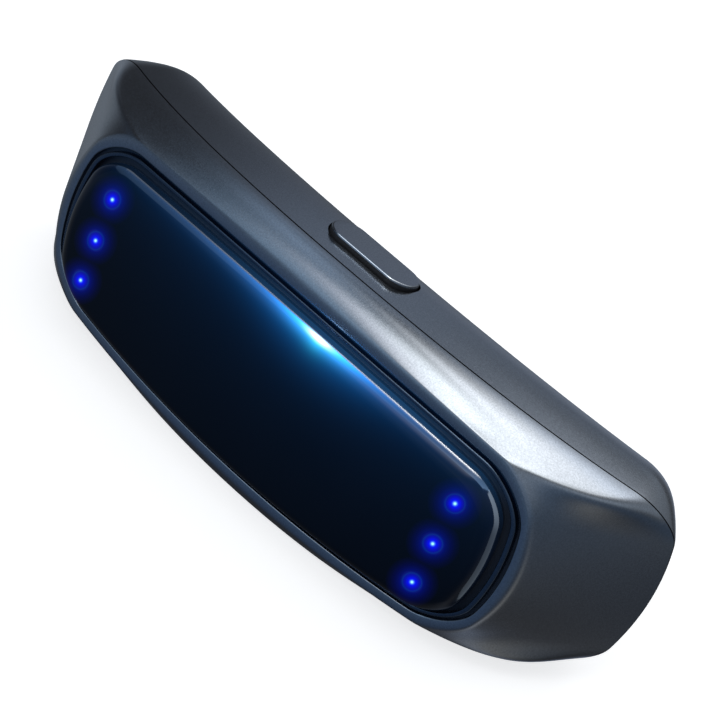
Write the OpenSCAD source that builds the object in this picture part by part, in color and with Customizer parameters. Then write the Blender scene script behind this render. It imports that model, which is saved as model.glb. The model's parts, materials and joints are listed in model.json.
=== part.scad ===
// Hand-held facial device: a gently curved bar with a raised dark panel in
// front, two moulded casing halves that meet at a fine seam, one push button
// on top and a concave skin side with two metal electrodes.
// +Z is up as the device stands, the panel faces -Y, X is its long axis.
// Everything below is drawn in bar coordinates (front of the panel at y = 0,
// mid height at z = 0) and then set down on its flat underside.

/* [Bar curve] */
// Radius of the panel's curve seen from above
arc_r = 400; // [350:5:500]
// Vertical crown of the front, drop at 17.5 mm above the middle
crown = 0.5; // [0.2:0.1:0.8]
// Radius of the concave skin side
skin_r = 174; // [165:1:200]
// Distance from the panel's front to the skin side rim, at the middle
back_y0 = 37; // [36:0.5:38]

/* [Raised panel] */
// Half length of the lens
lens_l = 58.8; // [56:0.1:59.5]
// Half height of the lens at the middle
lens_h = 20.2; // [18:0.1:20.6]
// Depth at which the lens's rounded edge ends
lens_edge = 2.6; // [2:0.1:2.8]
// Half length of the thin frame round the lens
bezel_l = 61.2; // [60.8:0.1:61.4]
// Half height of that frame
bezel_h = 22; // [21.8:0.1:22.2]
// Depth of the landing that carries the lens
landing_d = 4.0; // [3.9:0.1:4.1]
// Depth of the channel that the frame stands in
channel_d = 5.0; // [4.8:0.1:5.1]

/* [Casing] */
// Half length of the front shell's face edge
face_l = 64.6; // [64:0.1:66]
// Half height of the front shell's face edge
face_h = 25.2; // [24:0.1:26]
// Half length of the casing at the seam
seam_l = 82.4; // [81:0.1:84]
// Half height of the casing at the seam
seam_h = 30.2; // [30:0.1:31]
// Seam depth at the middle
seam_d = 11.3; // [11:0.1:11.8]
// Width of the seam gap
seam_gap = 0.3; // [0.2:0.05:0.4]
// Wall thickness
wall = 2.0; // [1.8:0.1:2.2]
// Height of the middle plane above the flat underside
base_drop = 28; // [27.8:0.1:28.2]

/* [Indicator lights] */
// Distance of each light column from the middle
led_x = 48.6; // [46:0.1:50]
// Vertical pitch of the lights
led_pitch = 10.8; // [10:0.1:11]
// Light guide radius
guide_r = 1.6; // [1.2:0.1:1.7]

/* [Button] */
// Length of the button cap
cap_l = 22; // [18:0.5:24]
// Width of the button cap
cap_w = 9.4; // [8.8:0.1:9.8]
// Sideways place of the button's centre
cap_x = 1.9; // [0:0.1:2]
// How far the cap stands above the casing
cap_rise = 1.0; // [0.8:0.1:1.4]
// Button travel
cap_travel = 0.6; // [0.4:0.1:0.7]

/* [Skin side] */
// Electrode length along the bar
pad_l = 36; // [30:1:38]
// Electrode height
pad_h = 18; // [14:1:18]
// Electrode centre from the middle
pad_x = 35; // [34:0.5:36]

/* [Inside] */
// Main board width
pcb_w = 60; // [58:1:60]
// Main board thickness
pcb_t = 1.2; // [1:0.1:1.4]
// Cell width
cell_w = 48; // [40:1:48]
// Cell height
cell_h = 30; // [24:1:30]
// Cell thickness
cell_t = 6; // [4:0.5:6]
// Motor can radius
motor_r = 3.5; // [3:0.1:3.6]

/* [Hidden] */
$fn = 48;

// outline sampling: corner, long edge, short edge
NA = 8; NT = 22; NS = 6;
NP = 4 * NA + 2 * NT + 2 * NS;
// corner radii and edge bows of the outlines
lens_r = 8;    lens_bz = 3.1;   lens_bx = 3.4;
bezel_r = 10.2; bezel_bz = 2.9; bezel_bx = 3.8;
groove_l = 62.2; groove_h = 22.8; groove_r = 10.2; groove_bx = 4.5;
face_r = 9;    face_bz = 3.1;   face_bx = 7;  face_d = 3.9;
seam_r = 9.2;  seam_bz = 9.1;   seam_bx = 3;
seam_u = 82.1; seam_d2 = 10.3;  seam_d4 = 3.5;
rear_r = 6.2;  rear_bx = -1;    rear_ha = 0.44; rear_hm = 3.9;
rear_xa = 15.4; rear_xm = 1.1; foot_hm = 7;
skin_cy = back_y0 + skin_r;
rim_w = 1.6;
recess = 2.5;
skin_fit = 0.3;
// the bar's middle, measured back from the panel's front
origin_y = 25.5;

// button frame: the cap leans back with the casing's top
cap_tilt = 11;
cap_y = 20.9;
cap_z = 29.85;
cap_r = 4.5;

// ---------- outlines and rings ----------
function corner(cx, cz, r, a0) = [for (i = [0:NA - 1]) let (a = a0 + 90 * i / NA)
  [cx + r * cos(a), cz + r * sin(a)]];
function edge(a, b, n) = [for (i = [0:n - 1]) a + (b - a) * i / n];
// rounded rectangle whose long edges bow by bz and short edges by bx
function outline(l, h, r, bz, bx) = let (p = concat(
    corner(l - r, h - r, r, 0), edge([l - r, h], [-(l - r), h], NT),
    corner(-(l - r), h - r, r, 90), edge([-l, h - r], [-l, -(h - r)], NS),
    corner(-(l - r), -(h - r), r, 180), edge([-(l - r), -h], [l - r, -h], NT),
    corner(l - r, -(h - r), r, 270), edge([l, -(h - r)], [l, h - r], NS)))
  [for (q = p) [q[0] * (1 - bx / l * pow(q[1] / h, 2)),
                q[1] * (1 - bz / h * pow(q[0] / l, 2))]];
// depth curves
function arc_y(x, d) = arc_r - sqrt(pow(arc_r - d, 2) - x * x);
function seam_y(x) = let (u = x / seam_u)
  arc_y(x, seam_d + seam_d2 * u * u + seam_d4 * pow(u, 4));
function back_y(x) = skin_cy - sqrt(skin_r * skin_r - x * x);
// flat underside, kept parallel through the wall
function foot(z, ins) = max(z, -(base_drop + 0.3 - ins));
function mix(a, b, t) = a * (1 - t) + b * t;

// ring of the front panel family, at a depth behind the panel's front
function face_ring(l, h, r, bz, bx, d, k = 1) = [for (q = outline(l, h, r, bz, bx))
  let (x = q[0] * k, z = q[1] * k) [x, arc_y(x, d + crown * pow(z / 17.5, 2)), z]];
// how round the bevel is at each outline point: 1 on the long edges, 0 on the ends
function roundness() = let (half = concat(
    [for (i = [0:NA - 1]) pow(sin(90 * i / NA), 2)], [for (i = [1:NT]) 1],
    [for (i = [0:NA - 1]) pow(cos(90 * i / NA), 2)], [for (i = [1:NS]) 0])) concat(half, half);
// ring of the front shell, v runs from its face edge to the seam along a
// convex curve that leaves the seam in line with the rear casing half
function front_ring(v, ins, dy) = let (w = roundness(),
    t = [for (q = outline(face_l - ins, face_h - ins, max(face_r - ins, 2), face_bz, face_bx))
      [q[0], arc_y(q[0], face_d + crown * pow(q[1] / 17.5, 2)), q[1]]],
    s = [for (q = outline(seam_l - ins, seam_h - ins, seam_r - ins, seam_bz, seam_bx))
      [q[0], seam_y(q[0]), q[1]]])
  [for (i = [0:NP - 1]) let (
      c = mix((t[i] + s[i]) / 2, [s[i][0], mix(t[i][1], s[i][1], 0.42), s[i][2]], w[i]),
      q = pow(1 - v, 2) * t[i] + 2 * v * (1 - v) * c + v * v * s[i])
    [q[0], q[1] + dy, foot(q[2], ins)]];
// ring of the rear housing, w runs from the seam to the skin side rim; its
// lower half stays full for longer, which gives the device a wider foot
function rear_h(w, m = rear_hm) = 1 - rear_ha * pow(w, m);
function rear_ring(w, ins, dy) = let (
    l = seam_l - rear_xa * pow(w, rear_xm) - ins, h = seam_h * rear_h(w) - ins,
    low = (seam_h * rear_h(w, foot_hm) - ins) / h,
    r = max(mix(seam_r, rear_r, w) - ins, 2),
    bz = seam_bz * rear_h(w), bx = mix(seam_bx, rear_bx, w))
  [for (q = outline(l, h, r, bz, bx)) let (x = q[0], z = foot(q[1] < 0 ? q[1] * low : q[1], ins))
    [x, mix(seam_y(x), back_y(x), w) + dy, z]];
// ring on the skin side at a depth into the casing, k shrinks it towards the middle
function skin_ring(ins, d, k = 1) = let (
    l = seam_l - rear_xa - ins, h = seam_h * rear_h(1) - ins)
  [for (q = outline(l, h, rear_r - ins * 0.5, seam_bz * rear_h(1), rear_bx))
    let (x = q[0] * k, z = q[1] * k) [x, skin_cy - sqrt(pow(skin_r + d, 2) - x * x), z]];

// ---------- solids from rings ----------
// closed body: rings from a front cap to a last cap, a point closes each end
module body_from(rings, c0, c1) {
  n = len(rings[0]); m = len(rings);
  pts = concat([for (r = rings) for (p = r) p], [c0, c1]);
  sides = [for (i = [0:m - 2]) for (j = [0:n - 1]) let (a = i * n + j, b = i * n + (j + 1) % n)
    each [[a, b, b + n], [a, b + n, a + n]]];
  cap0 = [for (j = [0:n - 1]) [(j + 1) % n, j, m * n]];
  cap1 = [for (j = [0:n - 1]) [(m - 1) * n + j, (m - 1) * n + (j + 1) % n, m * n + 1]];
  polyhedron(points = pts, faces = concat(cap0, sides, cap1), convexity = 8);
}
// closed loop: the last ring joins the first, as in a gasket
module loop_from(rings) {
  n = len(rings[0]); m = len(rings);
  pts = [for (r = rings) for (p = r) p];
  polyhedron(points = pts, faces = [for (i = [0:m - 1]) for (j = [0:n - 1])
    let (a = i * n + j, b = i * n + (j + 1) % n, c = ((i + 1) % m) * n + (j + 1) % n, d = ((i + 1) % m) * n + j)
    each [[a, b, c], [a, c, d]]], convexity = 8);
}
// set the bar down on its underside, centred over the origin
module set_down() { translate([0, -origin_y, base_drop]) children(); }
// a cylinder along Y from y0 to y1
module rod_y(x, z, y0, y1, r) {
  translate([x, y1, z]) rotate([90, 0, 0]) cylinder(h = y1 - y0, r = r);
}
// rounded rectangle, exact arcs
module rounded(w, h, r) {
  square([w - 2 * r, h], center = true);
  square([w, h - 2 * r], center = true);
  for (sx = [-1, 1], sy = [-1, 1])
    translate([sx * (w / 2 - r), sy * (h / 2 - r)]) circle(r);
}
// slab that follows the skin side between two depths, cut to an outline in X and Z
module skin_slab(front, back) {
  intersection() {
    translate([0, 60, 0]) rotate([90, 0, 0]) linear_extrude(50) children();
    translate([0, skin_cy, -40]) difference() {
      cylinder(h = 80, r = skin_r + front, $fn = 96);
      translate([0, 0, -1]) cylinder(h = 82, r = skin_r - back, $fn = 96);
    }
  }
}
// frame of one light column: local z runs into the device, normal to the panel
module at_column(side) {
  a = asin(led_x / arc_r);
  translate([0, arc_r, 0]) rotate([0, 0, side * a]) translate([0, -arc_r, 0]) children();
}
// frame of the button: local z is the press axis, z = 0 on the casing
module at_button() { translate([cap_x, cap_y, cap_z]) children(); }
// everything below a plane that leans back with the casing's top
module under_plane(z) {
  rotate([-cap_tilt, 0, 0]) translate([-30, -20, z - 30]) cube([60, 40, 30]);
}
// pill of the cap, inset by ins, from z0 up to the leaning plane at z1
module cap_layer(ins, z0, z1) intersection() {
  translate([0, 0, z0]) linear_extrude(12) rounded(cap_l - 2 * ins, cap_w - 2 * ins, cap_r - ins);
  under_plane(z1);
}
// flexible lead: an eight-sided tube along points, mitred at the bends
function unit(v) = v / norm(v);
module wire(p, r) {
  m = len(p);
  body_from([for (i = [0:m - 1]) let (
      t = unit((i < m - 1 ? unit(p[i + 1] - p[i]) : [0, 0, 0]) + (i > 0 ? unit(p[i] - p[i - 1]) : [0, 0, 0])),
      a = unit(cross(t, [1, 0.21, 0.13])), b = cross(a, t))
    [for (j = [0:7]) p[i] + r * (cos(45 * j) * a + sin(45 * j) * b)]], p[0], p[m - 1]);
}

// screw places
case_pts = [[59.5, 6], [-59.5, 6], [59.5, -6], [-59.5, -6]];
board_pts = [[27, 17], [-27, 17], [27, -21], [-27, -21]];
pcb_y = 22.2;
port_y = pcb_y - 1.7;
switch_y = pcb_y - 2.05;
stud_x = 32; stud_z = 5;

// ---------- casing ----------
function groove_ring(ins, d) = face_ring(groove_l - ins, groove_h - ins, groove_r, bezel_bz, groove_bx, d);
module front_shell() color([0.27, 0.3, 0.35]) set_down() difference() {
  union() {
    body_from(concat(
      // landing of the lens, then the channel that runs round it
      [for (k = [0.15, 0.35, 0.55, 0.75, 0.9]) lens_ring(0.6, landing_d, k)],
      [lens_ring(0.6, landing_d), lens_ring(0.5, channel_d), groove_ring(0.1, channel_d), groove_ring(0, landing_d)],
      [for (v = [0, 0.12, 0.28, 0.46, 0.64, 0.82, 1]) front_ring(v, 0, -seam_gap / 2 * v)],
      [front_ring(1, 2.4, -seam_gap / 2)],
      [for (v = [0.8, 0.6, 0.4, 0.2, 0]) front_ring(v, 1.6 + 0.6 * v, (wall + 0.1) * (1 - v))],
      [for (k = [0.95, 0.75, 0.55, 0.35, 0.15]) face_ring(bezel_l - 0.7, bezel_h - 0.6, bezel_r, bezel_bz, bezel_bx, landing_d + wall, k)]),
      [0, arc_y(0, landing_d), 0], [0, arc_y(0, landing_d + wall), 0]);
    // screw pillars
    for (p = case_pts) rod_y(p[0], p[1], 10.1, 25.6, 2.8);
    // posts of the light boards
    for (s = [-1, 1]) at_column(s) for (z = [-5.4, 5.4]) rod_y(0, z, 5.2, 10.6, 1);
  }
  for (p = case_pts) rod_y(p[0], p[1], 16, 26, 1.03);
  // light guide holes
  for (s = [-1, 1]) at_column(s) for (i = [-1:1]) rod_y(0, i * led_pitch, 2, 9, guide_r + 0.15);
  // flat underside
  translate([-60, -5, -base_drop - 5]) cube([120, 60, 5]);
}

module rear_housing() color([0.27, 0.3, 0.35]) set_down() difference() {
  union() {
    body_from(concat(
      [for (k = [0.12, 0.26, 0.4, 0.54, 0.68, 0.8, 0.9]) skin_ring(1, recess + wall, k)],
      [skin_ring(-2, recess + wall)],
      [for (w = [0.78, 0.65, 0.5, 0.34, 0.17]) rear_ring(w, 2.2 + 0.4 * w, 0)],
      [rear_ring(0, 2.4, seam_gap / 2), rear_ring(0, 1.7, seam_gap / 2), rear_ring(0, 1.7, 0.85),
       rear_ring(0, 0.9, 0.85), rear_ring(0, 0.9, seam_gap / 2), rear_ring(0, 0, seam_gap / 2)],
      [for (w = [0.15, 0.3, 0.44, 0.56, 0.66, 0.75, 0.83, 0.9, 0.95, 1]) rear_ring(w, 0, 0)],
      [skin_ring(rim_w, 0), skin_ring(rim_w, recess)],
      [for (k = [0.9, 0.8, 0.68, 0.54, 0.4, 0.26, 0.12]) skin_ring(rim_w, recess, k)]),
      [0, back_y(0) - recess - wall, 0], [0, back_y(0) - recess, 0]);
    for (p = case_pts) rod_y(p[0], p[1], 26, 43.3, 3.4);
    for (p = board_pts) rod_y(p[0], p[1], pcb_y + pcb_t + 0.1, p[1] > 0 ? 35.4 : 33.6, 2.2);
    // guide frame under the button opening
    at_button() intersection() {
      translate([0, 0, -6.2]) linear_extrude(4.5) difference() {
        rounded(cap_l + 6.4, cap_w + 5.2, 6); rounded(cap_l + 3.4, cap_w + 2.2, 5);
      }
      under_plane(-2.6);
    }
  }
  for (p = case_pts) { rod_y(p[0], p[1], 25, 50, 1.3); rod_y(p[0], p[1], 32, 50, 2.35); }
  for (p = board_pts) rod_y(p[0], p[1], 15, 31, 0.88);
  for (s = [-1, 1]) rod_y(s * stud_x, stud_z, 30, 45, 1.3);
  // button opening
  at_button() translate([0, 0, -5.2]) linear_extrude(10) rounded(cap_l + 0.7, cap_w + 0.7, cap_r + 0.35);
  // socket opening
  translate([0, port_y, -base_drop - 2]) linear_extrude(6) rounded(9.4, 3.7, 1.84);
  // flat underside
  translate([-60, -5, -base_drop - 5]) cube([120, 60, 5]);
}

module seam_gasket() color([0.05, 0.05, 0.06]) set_down() loop_from([
  rear_ring(0, 1.62, -0.1), rear_ring(0, 0.98, -0.1), rear_ring(0, 0.98, 0.8), rear_ring(0, 1.62, 0.8)]);

// ---------- raised panel ----------
function lens_ring(ins, d, k = 1) = face_ring(lens_l - ins, lens_h - ins, lens_r - 0.5 * ins, lens_bz, lens_bx, d, k);
module front_lens() color([0.02, 0.03, 0.06]) set_down() body_from(concat(
    [for (k = [0.12, 0.3, 0.5, 0.7, 0.88]) lens_ring(3.2, 0, k)],
    [for (a = [0:18:90]) lens_ring(3.2 * (1 - sin(a)), lens_edge * (1 - cos(a)))],
    [lens_ring(0, landing_d - 0.32)],
    [for (k = [0.8, 0.6, 0.4, 0.2]) lens_ring(0, landing_d - 0.32, k)]),
  [0, 0, 0], [0, arc_y(0, landing_d - 0.32), 0]);

function bezel_ring(f, d) = face_ring(mix(lens_l, bezel_l, f), mix(lens_h, bezel_h, f),
  mix(lens_r, bezel_r, f), mix(lens_bz, bezel_bz, f), mix(lens_bx, bezel_bx, f), d);
module panel_bezel() color([0.06, 0.08, 0.12]) set_down() loop_from([
  bezel_ring(0.54, landing_d - 0.05), bezel_ring(0.64, landing_d - 0.3), bezel_ring(0.9, landing_d - 0.3),
  bezel_ring(1, landing_d - 0.05), bezel_ring(1, channel_d - 0.06), bezel_ring(0.54, channel_d - 0.06)]);

module lens_tape() color([0.1, 0.1, 0.1]) set_down() loop_from([
  lens_ring(4.6, landing_d - 0.06), lens_ring(4.6, landing_d - 0.22),
  lens_ring(1.2, landing_d - 0.22), lens_ring(1.2, landing_d - 0.06)]);

// ---------- indicator lights ----------
module light_guides() color([0.85, 0.92, 1]) set_down()
  for (s = [-1, 1]) at_column(s) for (i = [-1:1]) rod_y(0, i * led_pitch, landing_d + 0.35, 8.4, guide_r);
module led_board(side) set_down() at_column(side) difference() {
  translate([0, 10, 0]) rotate([90, 0, 0]) linear_extrude(1) rounded(9, 30, 1);
  for (z = [-5.4, 5.4]) rod_y(0, z, 8, 11, 1.15);
}
module led_board_left() color([0.1, 0.35, 0.2]) led_board(-1);
module led_board_right() color([0.1, 0.35, 0.2]) led_board(1);
module indicator_leds() color([0.2, 0.35, 1]) set_down()
  for (s = [-1, 1]) at_column(s) for (i = [-1:1]) translate([-1.4, 8.5, i * led_pitch - 1.6]) cube([2.8, 0.5, 3.2]);

// ---------- button ----------
module power_button() color([0.3, 0.33, 0.38]) set_down() at_button() {
  cap_layer(0, -4.7, cap_rise - 0.5);
  cap_layer(0.12, -3, cap_rise - 0.28);
  cap_layer(0.32, -3, cap_rise - 0.1);
  cap_layer(0.65, -3, cap_rise);
  // stop flange under the wall, and the push stem
  translate([0, 0, -5.3]) linear_extrude(0.9) rounded(cap_l + 2.4, cap_w + 1.2, cap_r);
  translate([-cap_x, switch_y - cap_y, -5.9]) cylinder(h = 1.5, r = 1.8);
}
module at_switch() { translate([0, switch_y, cap_z]) children(); }
module button_pad() color([0.15, 0.15, 0.16]) set_down() at_switch()
  translate([0, 0, -6.5]) cylinder(h = 0.6, r = 1.5);
module switch_plunger() color([0.1, 0.1, 0.1]) set_down() at_switch()
  translate([0, 0, -8]) cylinder(h = 1.5, r = 1.2);
module tact_switch() color([0.2, 0.2, 0.22]) set_down() at_switch() difference() {
  translate([-3, -2, -11.2]) cube([6, 4, 3.9]);
  translate([0, 0, -8.9]) cylinder(h = 3, r = 1.26);
}

// ---------- electronics ----------
module main_board() color([0.1, 0.35, 0.2]) set_down() difference() {
  union() {
    translate([-pcb_w / 2, pcb_y, -24]) cube([pcb_w, pcb_t, 44]);
    translate([-7, pcb_y, 19]) cube([14, pcb_t, 3]);
  }
  for (p = board_pts) rod_y(p[0], p[1], pcb_y - 1, pcb_y + pcb_t + 1, 1.1);
}
module control_chip() color([0.08, 0.08, 0.09]) set_down() translate([4, pcb_y - 1, -4]) cube([7, 1, 7]);
module charge_chip() color([0.08, 0.08, 0.09]) set_down() translate([-9, pcb_y - 1, -17]) cube([4, 1, 4]);
module pulse_transformer() color([0.75, 0.6, 0.2]) set_down() translate([-22, pcb_y - 8, 0]) difference() {
  cube([11, 8, 9]);
  translate([1.2, -1, 2]) cube([2, 10, 5]);
  translate([7.8, -1, 2]) cube([2, 10, 5]);
}
module boost_coil() color([0.25, 0.2, 0.18]) set_down() rod_y(-16, -8, pcb_y - 3, pcb_y, 3);
module filter_capacitors() color([0.75, 0.75, 0.78]) set_down()
  for (x = [14, 19.5, 25]) rod_y(x, 6, pcb_y - 5.4, pcb_y, 2);
module board_connectors() color([0.9, 0.88, 0.8]) set_down() {
  for (s = [-1, 1]) translate([s * 25 - 3, pcb_y - 4, -13]) cube([6, 4, 4]);
  translate([-14, pcb_y - 4, -23]) cube([6, 4, 4]);
  for (s = [-1, 1]) translate([s * 17 - 3, pcb_y + pcb_t, -22]) cube([6, 3.5, 4]);
  translate([23, pcb_y + pcb_t, -3]) cube([6, 3.5, 6]);
}
module usb_socket() color([0.8, 0.8, 0.82]) set_down() translate([0, port_y, 0]) {
  translate([0, 0, -base_drop + 0.4]) linear_extrude(5.6) difference() {
    rounded(8.94, 3.26, 1.6); rounded(8.3, 2.56, 1.25);
  }
  translate([0, 0, -base_drop + 6]) linear_extrude(1.4) rounded(8.94, 3.26, 1.6);
  translate([-3.35, -0.35, -base_drop + 1.2]) cube([6.7, 0.7, 4.8]);
}
module battery_cell() color([0.75, 0.78, 0.8]) set_down()
  translate([-cell_w / 2, 7.9, -16]) cube([cell_w, cell_t, cell_h]);
module battery_pad() color([0.2, 0.2, 0.2]) set_down() translate([-14, 6.62, -9]) cube([28, 1.25, 18]);

// ---------- vibration ----------
module motor_cradle() color([0.25, 0.25, 0.27]) set_down() difference() {
  translate([38, 27, -5]) cube([11, 15, 10]);
  translate([30, 31.6, 0]) rotate([0, 90, 0]) cylinder(h = 30, r = motor_r + 0.02);
  translate([0, skin_cy, -8]) cylinder(h = 16, r = skin_r + recess + wall + 0.15, $fn = 360);
}
module vibration_motor() color([0.75, 0.76, 0.78]) set_down() difference() {
  translate([37, 31.6, 0]) rotate([0, 90, 0]) cylinder(h = 13.4, r = motor_r);
  translate([46, 31.6, 0]) rotate([0, 90, 0]) cylinder(h = 6, r = 0.55);
}
module motor_weight() color([0.6, 0.6, 0.55]) set_down() translate([0, 31.6, 0]) {
  translate([46.4, 0, 0]) rotate([0, 90, 0]) cylinder(h = 8.8, r = 0.5);
  translate([51.6, 0, 0]) rotate([0, 90, 0]) cylinder(h = 3.4, r = 1.1);
  intersection() {
    translate([51.6, 0, 0]) rotate([0, 90, 0]) cylinder(h = 3.4, r = 3.1);
    translate([50, -4, -4]) cube([6, 8, 4]);
  }
}

// ---------- skin side ----------
module skin_outline(ins) { polygon([for (p = skin_ring(ins, 0)) [p[0], p[2]]]); }
module skin_cover() color([0.82, 0.84, 0.86]) set_down() difference() {
  union() {
    skin_slab(recess - skin_fit, 0.7) skin_outline(rim_w + 0.15);
    skin_slab(recess - skin_fit, 1.2) skin_outline(rim_w + 0.6);
    skin_slab(recess - skin_fit, 1.5) skin_outline(rim_w + 1.4);
  }
  for (s = [-1, 1]) {
    skin_slab(recess + 1, 4) translate([s * pad_x, 0]) rounded(pad_l + 0.3, pad_h + 0.3, 6.15);
    skin_slab(recess + 1, -1.0) translate([s * pad_x, 0]) rounded(pad_l + 3.4, pad_h + 3.4, 7.5);
  }
}
module electrode(s) set_down() {
  difference() {
    union() {
      skin_slab(recess - skin_fit, 2.0) translate([s * pad_x, 0]) rounded(pad_l, pad_h, 6);
      skin_slab(recess - skin_fit, 2.25) translate([s * pad_x, 0]) rounded(pad_l - 0.5, pad_h - 0.5, 5.75);
      skin_slab(recess - skin_fit, 2.4) translate([s * pad_x, 0]) rounded(pad_l - 1.2, pad_h - 1.2, 5.4);
      skin_slab(recess - skin_fit, -1.1) translate([s * pad_x, 0]) rounded(pad_l + 3, pad_h + 3, 7.2);
    }
    skin_slab(recess + 1, 1.4) translate([s * pad_x, 0]) rounded(pad_l - 2.4, pad_h - 2.4, 4.8);
  }
  rod_y(s * stud_x, stud_z, 33, 41.9, 1);
}
module electrode_left() color([0.8, 0.81, 0.83]) electrode(-1);
module electrode_right() color([0.8, 0.81, 0.83]) electrode(1);
module stud_nuts() color([0.7, 0.6, 0.3]) set_down() for (s = [-1, 1]) difference() {
  translate([s * stud_x, 34.8, stud_z]) rotate([90, 0, 0]) cylinder(h = 1.6, r = 2.2, $fn = 6);
  rod_y(s * stud_x, stud_z, 30, 40, 1.04);
}

// ---------- fasteners ----------
module case_screws() color([0.6, 0.6, 0.62]) set_down() for (p = case_pts) {
  rod_y(p[0], p[1], 32.05, 33.4, 2.1);
  rod_y(p[0], p[1], 19, 32.1, 1);
}
module board_screws() color([0.6, 0.6, 0.62]) set_down() for (p = board_pts) {
  rod_y(p[0], p[1], pcb_y - 1.2, pcb_y - 0.02, 1.8);
  rod_y(p[0], p[1], pcb_y - 0.1, 27, 0.85);
}

// ---------- wiring ----------
module battery_leads() color([0.7, 0.1, 0.1]) set_down() for (x = [-12.2, -9.8])
  wire([[x, 11, -16.05], [x, 11, -18.5], [x, 12.6, -20.6], [x, 15, -21], [x, pcb_y - 4.05, -21]], 0.5);
module motor_leads() color([0.15, 0.25, 0.7]) set_down() for (z = [-1.4, 1.4])
  wire([[36.95, 31.6, z], [35.6, 31.6, z], [33.2, 29.4, z], [31.4, 26.2, z], [29.05, 25.2, z]], 0.45);
module electrode_leads() color([0.8, 0.8, 0.8]) set_down() for (s = [-1, 1])
  wire([[s * stud_x, 32.9, stud_z], [s * stud_x, 31.8, stud_z], [s * 31, 30.6, 3], [s * 24, 29.3, -8], [s * 18, 26.4, -14], [s * 17, 25.2, -16.4], [s * 17, 25.2, -17.95]], 0.45);
module led_flex(s) set_down() translate([0, 0, -14]) linear_extrude(4) polygon([
  [s * 45.4, 12.7], [s * 42.6, 12.36], [s * 36.2, 18.6], [s * 28.04, 20.2],
  [s * 28.04, 20.4], [s * 36.3, 18.8], [s * 42.7, 12.57], [s * 45.4, 12.9]]);
module led_flex_left() color([0.8, 0.5, 0.15]) led_flex(-1);
module led_flex_right() color([0.8, 0.5, 0.15]) led_flex(1);

front_shell();
rear_housing();
seam_gasket();
front_lens();
panel_bezel();
lens_tape();
light_guides();
led_board_left();
led_board_right();
indicator_leds();
power_button();
button_pad();
tact_switch();
switch_plunger();
main_board();
control_chip();
charge_chip();
pulse_transformer();
boost_coil();
filter_capacitors();
board_connectors();
usb_socket();
battery_cell();
battery_pad();
vibration_motor();
motor_weight();
motor_cradle();
skin_cover();
electrode_left();
electrode_right();
stud_nuts();
case_screws();
board_screws();
battery_leads();
motor_leads();
electrode_leads();
led_flex_left();
led_flex_right();
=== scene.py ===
"""Looks for a curved hand-held facial device with a raised glossy panel.

All shapes are worked out in bar coordinates, in millimetres: x along the bar,
y backwards from the panel's front, z up from mid height. place() turns them
into the row frame, in metres.
"""
import json
import math

import bpy
import bmesh
import numpy as np
from mathutils import Matrix, Vector


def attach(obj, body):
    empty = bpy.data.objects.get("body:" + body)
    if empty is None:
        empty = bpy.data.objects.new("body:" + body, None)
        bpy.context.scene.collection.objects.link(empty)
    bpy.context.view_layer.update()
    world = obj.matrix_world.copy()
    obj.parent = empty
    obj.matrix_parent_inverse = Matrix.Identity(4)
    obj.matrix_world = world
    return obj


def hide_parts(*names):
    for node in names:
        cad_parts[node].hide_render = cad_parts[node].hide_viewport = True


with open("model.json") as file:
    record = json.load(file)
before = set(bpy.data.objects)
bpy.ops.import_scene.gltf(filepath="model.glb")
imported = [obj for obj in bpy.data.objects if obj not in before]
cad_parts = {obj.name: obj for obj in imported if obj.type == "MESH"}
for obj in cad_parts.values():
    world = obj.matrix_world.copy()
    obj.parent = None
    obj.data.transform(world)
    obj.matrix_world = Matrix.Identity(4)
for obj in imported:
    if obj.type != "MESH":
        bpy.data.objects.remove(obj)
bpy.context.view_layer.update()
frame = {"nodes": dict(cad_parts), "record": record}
nodes = frame["nodes"]

# ------------------------------------------------------------------ numbers
ARC, CROWN = 400.0, 0.5
SKIN_R, SKIN_CY = 174.0, 211.0
BASE = 28.0
NA, NT, NS = 14, 84, 22          # outline samples: corner, long edge, short edge
GAP = 0.4
RECESS, RIM, WALL = 2.5, 1.6, 2.0
LED_X, LED_PITCH = 48.6, 10.8
CAP = dict(x=1.9, y=20.9, z=29.85, l=22.0, w=9.4, r=4.5, rise=1.0, tilt=math.radians(11))


def place(p):
    """bar coordinates in mm to the row frame in metres"""
    return (np.asarray(p, float) + np.array([0.0, -25.5, BASE])) / 1000.0


# ------------------------------------------------------------------ outlines
def outline(l, h, r, bz, bx):
    """rounded rectangle whose long edges bow by bz and short edges by bx"""
    pts = []

    def arc(cx, cz, a0):
        for i in range(NA):
            a = math.radians(a0 + 90 * i / NA)
            pts.append((cx + r * math.cos(a), cz + r * math.sin(a)))

    def edge(a, b, m):
        for i in range(m):
            pts.append((a[0] + (b[0] - a[0]) * i / m, a[1] + (b[1] - a[1]) * i / m))

    arc(l - r, h - r, 0)
    edge((l - r, h), (-(l - r), h), NT)
    arc(-(l - r), h - r, 90)
    edge((-l, h - r), (-l, -(h - r)), NS)
    arc(-(l - r), -(h - r), 180)
    edge((-(l - r), -h), (l - r, -h), NT)
    arc(l - r, -(h - r), 270)
    edge((l, -(h - r)), (l, h - r), NS)
    q = np.array(pts)
    return np.c_[q[:, 0] * (1 - bx / l * (q[:, 1] / h) ** 2),
                 q[:, 1] * (1 - bz / h * (q[:, 0] / l) ** 2)]


def roundness():
    s = [math.sin(math.radians(90 * i / NA)) ** 2 for i in range(NA)]
    c = [math.cos(math.radians(90 * i / NA)) ** 2 for i in range(NA)]
    half = s + [1.0] * NT + c + [0.0] * NS
    return np.array(half + half)[:, None]


def mix(a, b, t):
    return a * (1 - t) + b * t


def arc_y(x, d):
    return ARC - np.sqrt((ARC - d) ** 2 - x * x)


def seam_y(x):
    u = x / 82.1
    return arc_y(x, 11.3 + 10.3 * u ** 2 + 3.5 * u ** 4)


def skin_y(x, h=0.0):
    """skin side, h stands proud of it"""
    return SKIN_CY - np.sqrt((SKIN_R - h) ** 2 - x * x)


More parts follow.
